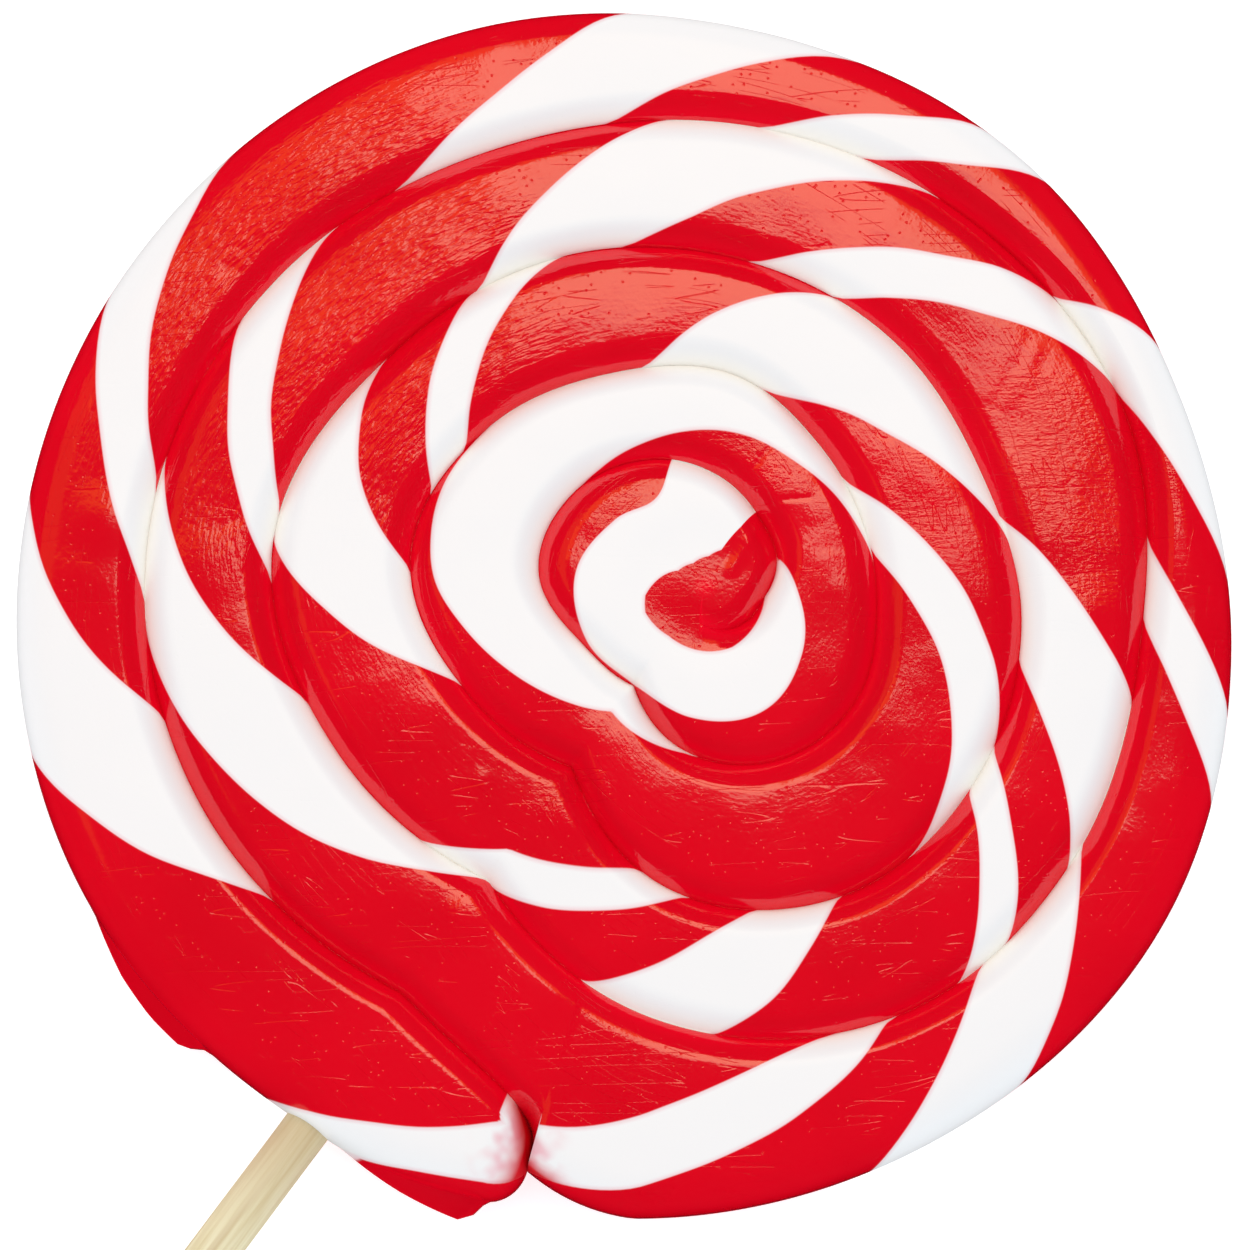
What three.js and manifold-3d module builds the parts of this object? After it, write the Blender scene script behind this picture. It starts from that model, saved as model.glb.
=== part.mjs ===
// A large swirl lollipop: one rope of boiled sugar, wound into a flat spiral and pressed, on a round
// wooden stick. It lies on its back with the shown side up.
//
// Millimetres, +Z up. The origin is the centre of the spiral, on the underside. The stick lies along -Y.
// Angles run clockwise as seen from above, in degrees, from the stick. They keep counting up from the
// rope's outer end to its inner end, so the angle 400 is on the second turn, 40 degrees past the stick.

import * as THREE from 'three';
import { mergeVertices } from 'three/addons/utils/BufferGeometryUtils.js';
import Module from 'manifold-3d';

// The pressed rope
const thickness = 12.6;
const crownHeight = 0.22; // how far the middle of the rope stands above the tops of its shoulders
const levelCentre = { from: 4, to: 10 }; // the crown fades out between these radii
const shoulderWidth = 2.6; // from a groove to the pressed face
const shoulderCurve = { squareness: 1.4, power: 0.85 }; // how it falls away: see fallBesideEdge
const rimWidth = 4.2; // how far the round outer edge reaches inwards
const rimCurve = { squareness: 2.6, power: 0.385 };
const topGrooveDepth = 2.1;
const undersideGrooveDepth = 1.5;
const grooveUnevenness = 0.22; // share of a groove's depth
const grooveWaves = [
  { share: 0.6, perTurn: 1.7, shift: 57 },
  { share: 0.4, perTurn: 4.1, shift: 0 },
];
const flatCentreRadius = 11; // the underside has no groove inside it
const fullUndersideRadius = 16.5; // and its grooves have their full depth outside this one

// The rope's outer end, which is cut blunt and leaves a notch in the outline
const fullTurn = 360;
const ropeEndAngle = -19.5;
const ropeEndCorner = -16; // where the outline has come out to its full radius
const ropeEndRound = 4.5; // degrees in which the end rises to the pressed face
const notchRadius = 62.3;
const notchReach = 5; // degrees in which the notch rises to the depth of a groove
const endFlare = 0.3; // how quickly the blunt end widens: 1 is a plain wedge

// Radius of the outline, and of the groove along the inside of each turn, every 30 degrees from the
// stick. Each turn dents inwards at the stick, where it was pressed round it.
const radiusStep = 30;
const outlineRadii = [68.5, 71.4, 71.2, 69.0, 65.5, 60.5, 57.2, 54.0, 55.0, 58.4, 61.1, 64.9];
const cornerRadius = 66.8;
const grooveRadii = [
  [52.0, 56.4, 57.8, 55.3, 51.5, 49.4, 48.0, 47.5, 45.2, 46.9, 48.2, 44.8, 37.5],
  [37.5, 41.5, 44.9, 41.1, 38.4, 35.1, 32.8, 31.1, 32.8, 34.1, 34.7, 31.4, 23.0],
  [23.0, 26.8, 30.6, 28.3, 24.9, 23.1, 19.5, 17.8, 17.8, 19.3, 19.3, 17.0, 12.4],
  [12.4, 13.9, 17.3, 17.0, 14.9, 12.1, 9.5, 8.1, 6.2, 5.4, 4.7, 3.9, 3.7],
];
const innerEndAngle = ropeEndAngle + grooveRadii.length * fullTurn; // where the groove meets the centre
const innerEndTaper = 10.5; // degrees in which its radius shrinks to nothing
const innerEndFade = 60; // degrees in which it grows shallow

// Two places where the lower half of the edge stands out past the upper half: the angle, and how far.
const ledgeReaches = [
  [-16.8, 0],
  [-15.7, 2.5],
  [-9.4, 1.3],
  [-3.5, 0],
  [10.9, 0],
  [12.5, 1.6],
  [16, 1.7],
  [20, 1.3],
  [25.7, 0],
];

// The stick
const stickDiameter = 5;
const stickShownLength = 120;
const stickBuriedLength = 45;
const stickChamfer = 0.5;
const stickGap = 0.3;
const stickSides = 24;

// Fineness
const angleStep = 7.5;
const notchSteps = [0, 0.2, 0.6, 1.3, 2.5, 3.8, 5.5, 8.5, 13]; // past the rope's end
const ledgeSteps = [30.5, 32]; // past the rope's end, where the second ledge starts
const widestSides = 0.9; // the most of the rope's width that its two sides may take

const middleHeight = thickness / 2;
const outlineEndAngle = ropeEndAngle + fullTurn;
const stickInnerEnd = outlineRadii[0] - stickBuriedLength; // from the origin, inside the candy
const boreMouth = 2 * outlineRadii[0]; // well outside the candy

const lerp = THREE.MathUtils.lerp;
const smoothstep = THREE.MathUtils.smoothstep;

// A smooth curve through radii that lie radiusStep apart, read at an angle from the first of them.
function radiusAlong(radii, angle) {
  const last = radii.length - 1;
  const index = Math.min(Math.floor(angle / radiusStep), last - 1);
  const share = angle / radiusStep - index;
  const slopeAt = (i) => {
    const before = Math.max(i - 1, 0);
    const after = Math.min(i + 1, last);
    return (radii[after] - radii[before]) / (after - before);
  };
  const start = radii[index];
  const end = radii[index + 1];
  const startSlope = slopeAt(index);
  const endSlope = slopeAt(index + 1);
  const rise = end - start;
  const bend = 3 * rise - 2 * startSlope - endSlope;
  const twist = startSlope + endSlope - 2 * rise;
  return start + share * (startSlope + share * (bend + share * twist));
}

// Radius of the groove along the rope's inner side.
function grooveRadius(angle) {
  if (angle >= innerEndAngle) {
    return 0;
  }
  if (angle < 0) {
    const share = (angle - ropeEndAngle) / -ropeEndAngle;
    return lerp(notchRadius, grooveRadii[0][0], share ** endFlare);
  }
  const turn = Math.min(Math.floor(angle / fullTurn), grooveRadii.length - 1);
  const taper = Math.min((innerEndAngle - angle) / innerEndTaper, 1);
  return radiusAlong(grooveRadii[turn], angle - turn * fullTurn) * taper;
}

// How far a quarter circle has risen at a share of its width.
function quarterRound(share) {
  return Math.sqrt(1 - (1 - share) ** 2);
}

// Radius of the outline, from the rope's end once round to the notch.
function outlineRadius(angle) {
  const lastStep = (outlineRadii.length - 1) * radiusStep;
  if (angle < ropeEndCorner) {
    const share = (angle - ropeEndAngle) / (ropeEndCorner - ropeEndAngle);
    return lerp(notchRadius, cornerRadius, quarterRound(share));
  }
  if (angle < 0) {
    return lerp(outlineRadii[0], cornerRadius, (angle / ropeEndCorner) ** 2);
  }
  if (angle > lastStep) {
    const share = (angle - lastStep) / (outlineEndAngle - lastStep);
    return lerp(outlineRadii.at(-1), notchRadius, share ** 2);
  }
  return radiusAlong(outlineRadii, angle);
}

// Radius of the edge's lower half.
function ledgeRadius(angle) {
  const next = ledgeReaches.findIndex(([knotAngle]) => knotAngle > angle);
  if (next < 1) {
    return outlineRadius(angle);
  }
  const [startAngle, startReach] = ledgeReaches[next - 1];
  const [endAngle, endReach] = ledgeReaches[next];
  const share = (angle - startAngle) / (endAngle - startAngle);
  return outlineRadius(angle) + lerp(startReach, endReach, share);
}

// True where the rope's outer side is the candy's outline and not a groove.
function isOutermost(angle) {
  return angle < outlineEndAngle;
}

function outerRadius(angle, face) {
  return isOutermost(angle) ? face.outlineAt(angle) : grooveRadius(angle - fullTurn);
}

// 1 at the notch, where a groove is as deep as the outline's round edge, and 0 from notchReach on.
function notchShare(angle) {
  return (1 - smoothstep(angle, ropeEndAngle, ropeEndAngle + notchReach)) ** 2;
}

function grooveDepth(angle, usualDepth) {
  const waves = grooveWaves.map(
    (wave) => wave.share * Math.sin(THREE.MathUtils.degToRad(wave.perTurn * angle + wave.shift)),
  );
  const unevenness = grooveUnevenness * waves.reduce((sum, height) => sum + height);
  return lerp(usualDepth * (1 + unevenness), middleHeight, notchShare(angle));
}

function topGrooveDepthAt(angle) {
  const fade = 1 - smoothstep(angle, innerEndAngle - innerEndFade, innerEndAngle);
  return grooveDepth(angle, topGrooveDepth) * fade;
}

function undersideGrooveDepthAt(angle) {
  const fade = smoothstep(grooveRadius(angle), flatCentreRadius, fullUndersideRadius);
  return grooveDepth(angle, undersideGrooveDepth) * fade;
}

// The two faces of the candy. Rows are where a section has its points: shares of the inner shoulder's
// width from the groove, of the pressed face, and of the outer side's width from its edge.
const topFace = {
  outlineAt: outlineRadius,
  depthAt: topGrooveDepthAt,
  crown: crownHeight,
  heightAt: (fall) => thickness - fall,
  facesUp: true,
  shoulderRows: [0, 0.4, 1],
  middleRows: [0.5],
  edgeRows: [1, 0.5, 0.2, 0.04, 0],
};
const undersideFace = {
  outlineAt: ledgeRadius,
  depthAt: undersideGrooveDepthAt,
  crown: 0,
  heightAt: (fall) => fall,
  facesUp: false,
  shoulderRows: [0, 1],
  middleRows: [],
  edgeRows: [1, 0.5, 0.2, 0.04, 0],
};

// One side of the rope's section: how wide and deep it falls away, and in what curve. Roundness 1 is
// the upright round edge of the outline, and 0 the slope into a groove.
function sectionSide(angle, depthAt, outermost) {
  const roundness = outermost ? 1 : notchShare(angle);
  return {
    width: lerp(shoulderWidth, rimWidth, roundness),
    depth: outermost ? middleHeight : depthAt(angle),
    squareness: lerp(shoulderCurve.squareness, rimCurve.squareness, roundness),
    power: lerp(shoulderCurve.power, rimCurve.power, roundness),
  };
}

// How far the section lies below the pressed face at a distance from one side's edge.
function fallBesideEdge(distance, side, crown) {
  const nearness = THREE.MathUtils.clamp(1 - distance / side.width, 0, 1);
  const drop = Math.max(side.depth - crown, 0);
  return drop * (1 - (1 - nearness ** side.squareness) ** side.power);
}

// The section of the rope at an angle, as [radius, fall below the highest point], from its inner side
// to its outer side.
function ropeSection(angle, face) {
  const innerRadius = grooveRadius(angle);
  const width = outerRadius(angle, face) - innerRadius;
  const inner = sectionSide(angle, face.depthAt, false);
  const outer = sectionSide(angle - fullTurn, face.depthAt, isOutermost(angle));
  const squeeze = Math.min(1, (widestSides * width) / (inner.width + outer.width));
  inner.width *= squeeze;
  outer.width *= squeeze;
  const distances = [
    ...face.shoulderRows.map((share) => share * inner.width),
    ...face.middleRows.map((share) => lerp(inner.width, width - outer.width, share)),
    ...face.edgeRows.map((share) => width - share * outer.width),
  ];
  const endShare = THREE.MathUtils.clamp((angle - ropeEndAngle) / ropeEndRound, 0, 1);
  return distances.map((distance) => {
    const bend = smoothstep(innerRadius + distance, levelCentre.from, levelCentre.to);
    const bow = face.crown * lerp(1, ((2 * distance) / width - 1) ** 2, bend);
    const innerFall = fallBesideEdge(distance, inner, face.crown);
    const outerFall = fallBesideEdge(width - distance, outer, face.crown);
    const fall = lerp(middleHeight, bow + Math.max(innerFall, outerFall), quarterRound(endShare));
    return [innerRadius + distance, fall];
  });
}

// Every angle at which the rope has a section. The same angles repeat on each turn, so that a turn's
// outer side and the inner side of the turn around it share their points.
function sectionOffsets() {
  const offsets = [...notchSteps, ...ledgeSteps];
  for (let offset = -ropeEndAngle; offset < fullTurn; offset += angleStep) {
    offsets.push(offset);
  }
  return offsets.sort((a, b) => a - b);
}

function pointAt(angle, radius, height) {
  const radians = THREE.MathUtils.degToRad(angle);
  return [-radius * Math.sin(radians), -radius * Math.cos(radians), height];
}

// The whole coil as one closed surface: a top and an underside that meet along the outline.
function coilGeometry() {
  const positions = [];
  const triangles = [];
  const addPoint = (angle, radius, height) => {
    positions.push(...pointAt(angle, radius, height));
    return positions.length / 3 - 1;
  };
  const addTriangle = (a, b, c) => {
    if (a !== b && b !== c && c !== a) {
      triangles.push(a, b, c);
    }
  };

  const offsets = sectionOffsets();
  const turns = grooveRadii.length + 1;
  const lastSection = turns * offsets.length;
  const firstCentreSection = lastSection - offsets.length;
  const angleOf = (i) =>
    ropeEndAngle + Math.floor(i / offsets.length) * fullTurn + offsets[i % offsets.length];
  const outline = offsets.map((offset) => {
    const angle = ropeEndAngle + offset;
    return addPoint(angle, ledgeRadius(angle), middleHeight);
  });

  const addFace = (face) => {
    const centre = addPoint(0, 0, face.heightAt(face.crown));
    const rows = [];
    for (let i = 0; i <= lastSection; i += 1) {
      const atEnd = i === 0 || i === lastSection;
      const section = atEnd ? [] : ropeSection(angleOf(i), face);
      const indices = section
        .slice(1, -1)
        .map(([radius, fall]) => addPoint(angleOf(i), radius, face.heightAt(fall)));
      let inner = i < firstCentreSection ? outline[0] : centre;
      if (i > 0 && i < firstCentreSection) {
        const [radius, fall] = section[0];
        inner = addPoint(angleOf(i), radius, face.heightAt(fall));
      }
      const outer = i < offsets.length ? outline[i] : rows[i - offsets.length][0];
      rows.push([inner, ...indices, outer]);
    }
    for (let i = 0; i < lastSection; i += 1) {
      addStrip(rows[i], rows[i + 1], face.facesUp, addTriangle);
    }
  };
  addFace(topFace);
  addFace(undersideFace);

  const geometry = new THREE.BufferGeometry();
  geometry.setAttribute('position', new THREE.Float32BufferAttribute(positions, 3));
  geometry.setIndex(triangles);
  return geometry;
}

// The triangles between two neighbouring sections. The rope's two ends are a section of two equal
// points, to which every point of the next section is joined.
function addStrip(row, nextRow, facesUp, addTriangle) {
  const pick = (points, j) => points[points.length === 2 ? 0 : j];
  const columns = Math.max(row.length, nextRow.length);
  for (let j = 0; j + 1 < columns; j += 1) {
    const corners = [pick(row, j), pick(row, j + 1), pick(nextRow, j + 1), pick(nextRow, j)];
    const [a, b, c, d] = facesUp ? corners.toReversed() : corners;
    addTriangle(a, b, c);
    addTriangle(a, c, d);
  }
}

const wasm = await Module();
wasm.setup();

function solidFrom(geometry) {
  const bare = geometry.clone();
  bare.deleteAttribute('normal');
  bare.deleteAttribute('uv');
  const merged = mergeVertices(bare);
  return new wasm.Manifold(
    new wasm.Mesh({
      numProp: 3,
      vertProperties: new Float32Array(merged.attributes.position.array),
      triVerts: new Uint32Array(merged.index.array),
    }),
  );
}

function geometryFrom(solid) {
  const mesh = solid.getMesh();
  const geometry = new THREE.BufferGeometry();
  geometry.setAttribute('position', new THREE.BufferAttribute(mesh.vertProperties, 3));
  geometry.setIndex(new THREE.BufferAttribute(mesh.triVerts, 1));
  return geometry;
}

// A round bar with its axis along -Y at mid-height, from one distance to another from the origin.
function barTowardsMinusY(radius, from, to, chamfer) {
  const profile = [
    new THREE.Vector2(0, from),
    new THREE.Vector2(radius - chamfer, from),
    new THREE.Vector2(radius, from + chamfer),
    new THREE.Vector2(radius, to - chamfer),
    new THREE.Vector2(radius - chamfer, to),
    new THREE.Vector2(0, to),
  ];
  const bar = new THREE.LatheGeometry(profile, stickSides);
  bar.rotateZ(Math.PI);
  bar.translate(0, 0, middleHeight);
  return bar;
}

function makeCandy() {
  const coil = solidFrom(coilGeometry());
  const boreRadius = stickDiameter / 2 + stickGap;
  const bore = solidFrom(
    barTowardsMinusY(boreRadius, stickInnerEnd - stickGap, boreMouth, stickChamfer),
  );
  const geometry = geometryFrom(coil.subtract(bore));
  geometry.computeVertexNormals();
  const material = new THREE.MeshStandardMaterial({ color: 0xdc011b, roughness: 0.28, metalness: 0 });
  const candy = new THREE.Mesh(geometry, material);
  candy.name = 'candy';
  return candy;
}

function makeStick() {
  const end = outlineRadii[0] + stickShownLength;
  const geometry = barTowardsMinusY(stickDiameter / 2, stickInnerEnd, end, stickChamfer);
  const material = new THREE.MeshStandardMaterial({ color: 0xe3d9b8, roughness: 0.75, metalness: 0 });
  const stick = new THREE.Mesh(geometry, material);
  stick.name = 'stick';
  return stick;
}

const group = new THREE.Group();
group.add(makeCandy(), makeStick());

export default group;
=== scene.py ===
"""The looks of the swirl lollipop: the pressed sugar rope with its stripes, and the wooden stick.

The candy is one closed mesh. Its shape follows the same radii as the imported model, in finer steps.
Angles run clockwise as seen from above, in degrees from the stick, and keep counting up along the
rope from its outer end to its inner end. Lengths are in millimetres until a mesh is made.
"""

import math
from collections import namedtuple

import bpy
import numpy as np
from mathutils import Matrix, Vector


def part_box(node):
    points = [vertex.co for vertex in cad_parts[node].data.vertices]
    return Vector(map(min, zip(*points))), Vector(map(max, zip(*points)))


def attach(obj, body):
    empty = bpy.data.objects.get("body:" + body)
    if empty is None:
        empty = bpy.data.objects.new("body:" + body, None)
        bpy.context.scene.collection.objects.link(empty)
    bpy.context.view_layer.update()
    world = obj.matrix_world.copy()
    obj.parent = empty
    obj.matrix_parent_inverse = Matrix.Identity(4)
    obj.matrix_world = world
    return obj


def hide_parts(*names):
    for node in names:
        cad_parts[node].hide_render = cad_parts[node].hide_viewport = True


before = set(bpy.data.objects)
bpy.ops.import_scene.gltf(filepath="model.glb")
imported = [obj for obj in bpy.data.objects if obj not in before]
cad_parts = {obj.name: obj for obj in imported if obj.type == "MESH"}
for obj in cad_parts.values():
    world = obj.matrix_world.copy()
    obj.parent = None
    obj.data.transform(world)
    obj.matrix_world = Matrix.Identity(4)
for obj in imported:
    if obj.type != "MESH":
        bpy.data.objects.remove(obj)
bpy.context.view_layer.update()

MM = 0.001

# The pressed rope: how high its middle stands, how its sides fall away, and how deep its grooves are
THICKNESS = 1000 * (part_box("candy")[1].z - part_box("candy")[0].z)
MIDDLE_HEIGHT = THICKNESS / 2
CROWN_HEIGHT = 0.22
LEVEL_CENTRE = (4, 10)  # the crown fades out between these radii
SHOULDER_WIDTH = 2.6
SHOULDER_CURVE = (1.4, 0.85)
RIM_WIDTH = 4.2
RIM_CURVE = (2.6, 0.385)
TOP_GROOVE_DEPTH = 2.1
UNDERSIDE_GROOVE_DEPTH = 1.5
GROOVE_UNEVENNESS = 0.22
GROOVE_WAVES = ((0.6, 1.7, 57), (0.4, 4.1, 0))
FLAT_CENTRE_RADIUS = 11
FULL_UNDERSIDE_RADIUS = 16.5
WIDEST_SIDES = 0.9

# The rope's outer end, which is cut blunt and leaves a notch in the outline
FULL_TURN = 360
ROPE_END_ANGLE = -19.5
ROPE_END_CORNER = -16
ROPE_END_ROUND = 4.5
NOTCH_RADIUS = 62.3
NOTCH_REACH = 5
END_FLARE = 0.3

# Radius of the outline and of the groove inside each turn, every 30 degrees from the stick. The packed
# model's outline is made of chords, so this finer one is drawn in a little to stay within it.
RADIUS_STEP = 30
OUTLINE_INSET = 0.13
OUTLINE_RADII = np.array([68.5, 71.4, 71.2, 69.0, 65.5, 60.5, 57.2, 54.0, 55.0, 58.4, 61.1, 64.9])
OUTLINE_RADII -= OUTLINE_INSET
CORNER_RADIUS = 66.8 - OUTLINE_INSET
GROOVE_RADII = np.array(
    [
        [52.0, 56.4, 57.8, 55.3, 51.5, 49.4, 48.0, 47.5, 45.2, 46.9, 48.2, 44.8, 37.5],
        [37.5, 41.5, 44.9, 41.1, 38.4, 35.1, 32.8, 31.1, 32.8, 34.1, 34.7, 31.4, 23.0],
        [23.0, 26.8, 30.6, 28.3, 24.9, 23.1, 19.5, 17.8, 17.8, 19.3, 19.3, 17.0, 12.4],
        [12.4, 13.9, 17.3, 17.0, 14.9, 12.1, 9.5, 8.1, 6.2, 5.4, 4.7, 3.9, 3.7],
    ]
)
INNER_END_ANGLE = ROPE_END_ANGLE + len(GROOVE_RADII) * FULL_TURN
INNER_END_TAPER = 10.5
INNER_END_FADE = 60
OUTLINE_END_ANGLE = ROPE_END_ANGLE + FULL_TURN

# Where the lower half of the edge stands out past the upper half: the angles, and how far
LEDGE_ANGLES = [-16.8, -15.7, -9.4, -3.5, 10.9, 12.5, 16, 20, 25.7]
LEDGE_REACHES = [0, 2.5, 1.3, 0, 0, 1.6, 1.7, 1.3, 0]

# The white stripes. Each begins and ends at these angles: on the rope's inner side, half-way across
# the rope, and on its outer side.
STRIPES = [
    ((-60, -35, -4.5), (-19, -12, 4)),
    ((17.5, 28, 40.5), (39.5, 49, 63)),
    ((52.5, 67, 81.5), (63.5, 78.5, 100)),
    ((106, 124, 138), (132, 147, 162.5)),
    ((150, 164.5, 176.5), (163, 176, 184.5)),
    ((193, 199.5, 206), (207.5, 220, 234)),
    ((226.5, 237.5, 247.5), (237, 248, 257.5)),
    ((268, 279.5, 291), (287.5, 297, 307.5)),
    ((299.5, 313, 340.5), (307.5, 330.5, 350)),
    ((359.5, 380.5, 409.5), (397, 411, 427.5)),
    ((414.5, 429, 444.5), (424, 439.5, 459)),
    ((467, 481.5, 499), (490, 511.5, 534)),
    ((511.5, 532.5, 554), (526.5, 546.5, 567)),
    ((579.5, 597, 609), (606, 620, 631.5)),
    ((622, 633, 643.5), (631, 640.5, 651.5)),
    ((659.5, 670.5, 682.5), (675, 688.5, 701)),
    ((686.5, 701.5, 719), (696, 711.5, 732)),
    ((751.5, 766, 781), (776.5, 791, 809.5)),
    ((793, 808.5, 826.5), (803.5, 820.5, 841)),
    ((848, 867.5, 888), (879.5, 914, 944)),
    ((913, 948, 982.5), (939.5, 973.5, 1006.5)),
    ((1046, 1095.5, 1171), (1176, 1241.5, 1305)),
]
COILED_STRIPES_END = 1000  # the stripes from here on run along the rope
UNDERSIDE_THINNING = 0.8  # under the candy the stripes lose this much at the rope's inner side
STRIPE_BEND = 0.35  # 0 crosses the rope in a straight line, 1 follows a round rope's helix
FAR_AWAY = 50.0  # farther from a stripe's edge, or from a groove, than any colour depends on

# The white curl in the middle: its outer radius every 30 degrees from CURL_START, and the angles and
# radii of its inner side
CURL_START = 1260
CURL_OUTER_RADII = np.array([6.0, 8.3, 9.8, 12.3, 14.2, 13.7, 12.2, 13.2, 13.5, 11.7, 11.3, 22, 22])
CURL_INNER_ANGLES = [1260, 1290, 1320, 1380, 1440, 1470, 1485, 1497, 1525, 1557, 1590, 1607, 1614, 1618]
CURL_INNER_RADII = [9.0, 8.0, 6.2, 6.9, 6.4, 6.8, 6.3, 5.3, 3.1, 2.6, 3.1, 4.1, 7.2, 12]

# The rope's end curls in beside the notch: the white there reaches this far from the groove, up to
# this angle
CAP_WIDTH = 2.7
CAP_ANGLE = -15.4
ROPE_END_TIP = Vector((19.0, -57.7, 10))
UNDER_END_ANGLE = 355  # no stripe shows from the notch to here, close under the rope's end

# Smooth waves in a surface: the seed they are drawn from, how long they are, and how high
Waves = namedtuple("Waves", "seed size height")
WIDE_DENTS = Waves(13095, 11, 0.1)
NARROW_DENTS = Waves(12, 4, 0.03)
SMALL_DENTS = Waves(13, 1.6, 0.008)
STRIPE_WAVES = Waves(3, 6, 0.18)  # in the stripes' edges

# Small folds in the pressed face: start, end, half width and height, which is below 0 where one is sunk
FOLD_SHARPNESS = 1.5
FOLDS = [
    ((12.7, 33.1), (11.5, 41.1), 0.45, -0.07),
    ((15.2, 35.8), (13.6, 41.5), 0.4, -0.06),
    ((21.4, 36.3), (23.6, 29.4), 0.4, 0.05),
    ((23.1, 36.0), (24.6, 31.0), 0.4, 0.06),
    ((24.6, 31.0), (28.0, 25.8), 0.4, 0.06),
    ((25.2, 27.9), (25.7, 24.2), 0.4, 0.05),
    ((10.6, 32.0), (14.9, 33.4), 0.3, -0.03),
    ((14.9, 33.4), (19.4, 34.0), 0.35, -0.04),
    ((-60.6, -2.1), (-56.9, -3.6), 0.6, -0.1),
    ((-60.9, -3.8), (-56.9, -4.1), 0.6, 0.06),
    ((-3.3, 16.0), (-3.5, 11.9), 0.4, -0.05),
    ((-0.2, 11.0), (3.0, 13.8), 0.4, -0.05),
    ((0.6, 8.0), (1.1, 3.2), 1.2, 0.09),
    ((-15.4, -35.2), (-12.0, -36.3), 0.6, 0.1),
    ((-44.2, -25.1), (-42.9, -22.3), 0.5, -0.06),
]

# Low hills in the pressed face: middle, radius and height
HILLS = [
    ((3.4, -27.2), 3.6, 0.16),
    ((0.8, -42.0), 3.6, 0.16),
    ((-6.6, -29.6), 1.2, 0.05),
    ((-54.0, -31.0), 5.0, 0.12),
    ((33.0, 22.0), 5.0, 0.12),
]

GROOVE_SMOOTH_WIDTH = 1.5  # the dents of the pressed face fade out this far from a groove

# Where the surface is finely wrinkled across the picture, and streaked along the rope: middle, radius
# and strength, which fades in over a share of the radius
AREA_FADE = 0.5
WRINKLED_AREAS = [
    ((24.0, 31.0), 17, 1.0),
    ((12.7, 21.0), 8, 0.7),
    ((-3.4, 14.2), 7, 0.7),
    ((-14.8, 1.9), 6, 0.7),
    ((2.1, -25.4), 5, 1.4),
    ((-0.8, -39.7), 4, 0.8),
    ((20.6, -47.7), 9, 0.4),
    ((11.4, -54.4), 8, 0.35),
    ((-20.0, -42.0), 16, 0.25),
]
STREAKED_AREAS = [
    ((-54.0, 0.0), 34, 1.0),
    ((-38.0, -14.0), 18, 0.8),
    ((-2.0, 4.0), 8, 0.2),
    ((0.0, 0.0), 70, 0.1),
]

CALM_CENTRE = (3, 7)  # the streaks fade in between these radii, as the rope is too curled inside them

# The fine relief, as heights in millimetres. Scales are per metre, or per millimetre along the rope.
LEAST_HEIGHT = 0.001
PATCH_SCALE = 120.0
PATCH_LIMITS = (0.38, 0.58)
WEAKEST_PATCH = 0.35
WRINKLE_TURN = -36.5
WRINKLE_SCALES = (1000.0, 2300.0)
WRINKLE_HEIGHT = 0.038
STREAK_SCALES = (0.5, 2.2)
STREAK_HEIGHT = 0.07
GRAIN_SCALE = 2200.0
GRAIN_HEIGHT = 0.009
PIT_SCALE = 1200.0
PIT_SHARE = 0.15
PIT_LIMITS = (0.02, 0.2)
PIT_DEPTH = 0.02

# Hair lines: how they are turned, their scales along and across, and their thickness
Hairs = namedtuple("Hairs", "turn along across thickness")
HAIRS_ALONG_ROPE = Hairs(4, 0.05, 0.7, 0.012)
HAIRS_ACROSS_PICTURE = Hairs(-38, 40.0, 520.0, 0.015)
HAIR_PATCH_SCALE = 230.0
HAIR_PATCH_LIMITS = (0.5, 0.6)
HAIRS_IN_WRINKLES = 0.8
HAIR_DEPTH = 0.013

# Fineness of the mesh: degrees past the rope's end, degrees elsewhere, and rows on the inner side, in
# the middle and on the outer side
NOTCH_STEPS = [0, 0.03, 0.08, 0.15, 0.25, 0.4, 0.6, 0.85, 1.15, 1.5, 1.9, 2.4, 2.9, 3.4]
ANGLE_STEP = 0.9
TOP_ROWS = (9, 15, 10)
UNDERSIDE_ROWS = (3, 3, 7)
LAST_ROW_SHARE = 0.003  # the last row but one lies this share of the outer side's width from the edge
LEAST_WIDTH = 1e-6

# Stick
STICK_RADIUS = 2.5
STICK_ROUND = 0.5
STICK_END_SHARES = np.array([0, 0.05, 0.2, 0.5, 1])
STICK_WEAR = Waves(21, 9, 0.02)
STICK_RINGS = 60
STICK_SIDES = 48

# Colours
RED = (0.74, 0.0006, 0.011, 1)
DEEP_RED = (0.68, 0.0004, 0.0095, 1)
# a lighter red painted into the grooves: painted light against their shade
GROOVE_LIT_RED = (0.84, 0.0006, 0.015, 1)
WHITE = (0.89, 0.885, 0.88, 1)
# cream painted into the white's grooves: partly its tint, partly painted light against their shade
GROOVE_LIT_CREAM = (0.95, 0.93, 0.87, 1)
PINK = (0.85, 0.45, 0.5, 1)
PALE_WOOD = (0.84, 0.78, 0.52, 1)
DARK_WOOD = (0.7, 0.6, 0.34, 1)
# brown of the wood's darker bands, also used for the painted shade beside the candy
BAND_AND_SHADE_BROWN = (0.5, 0.33, 0.16, 1)
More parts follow.
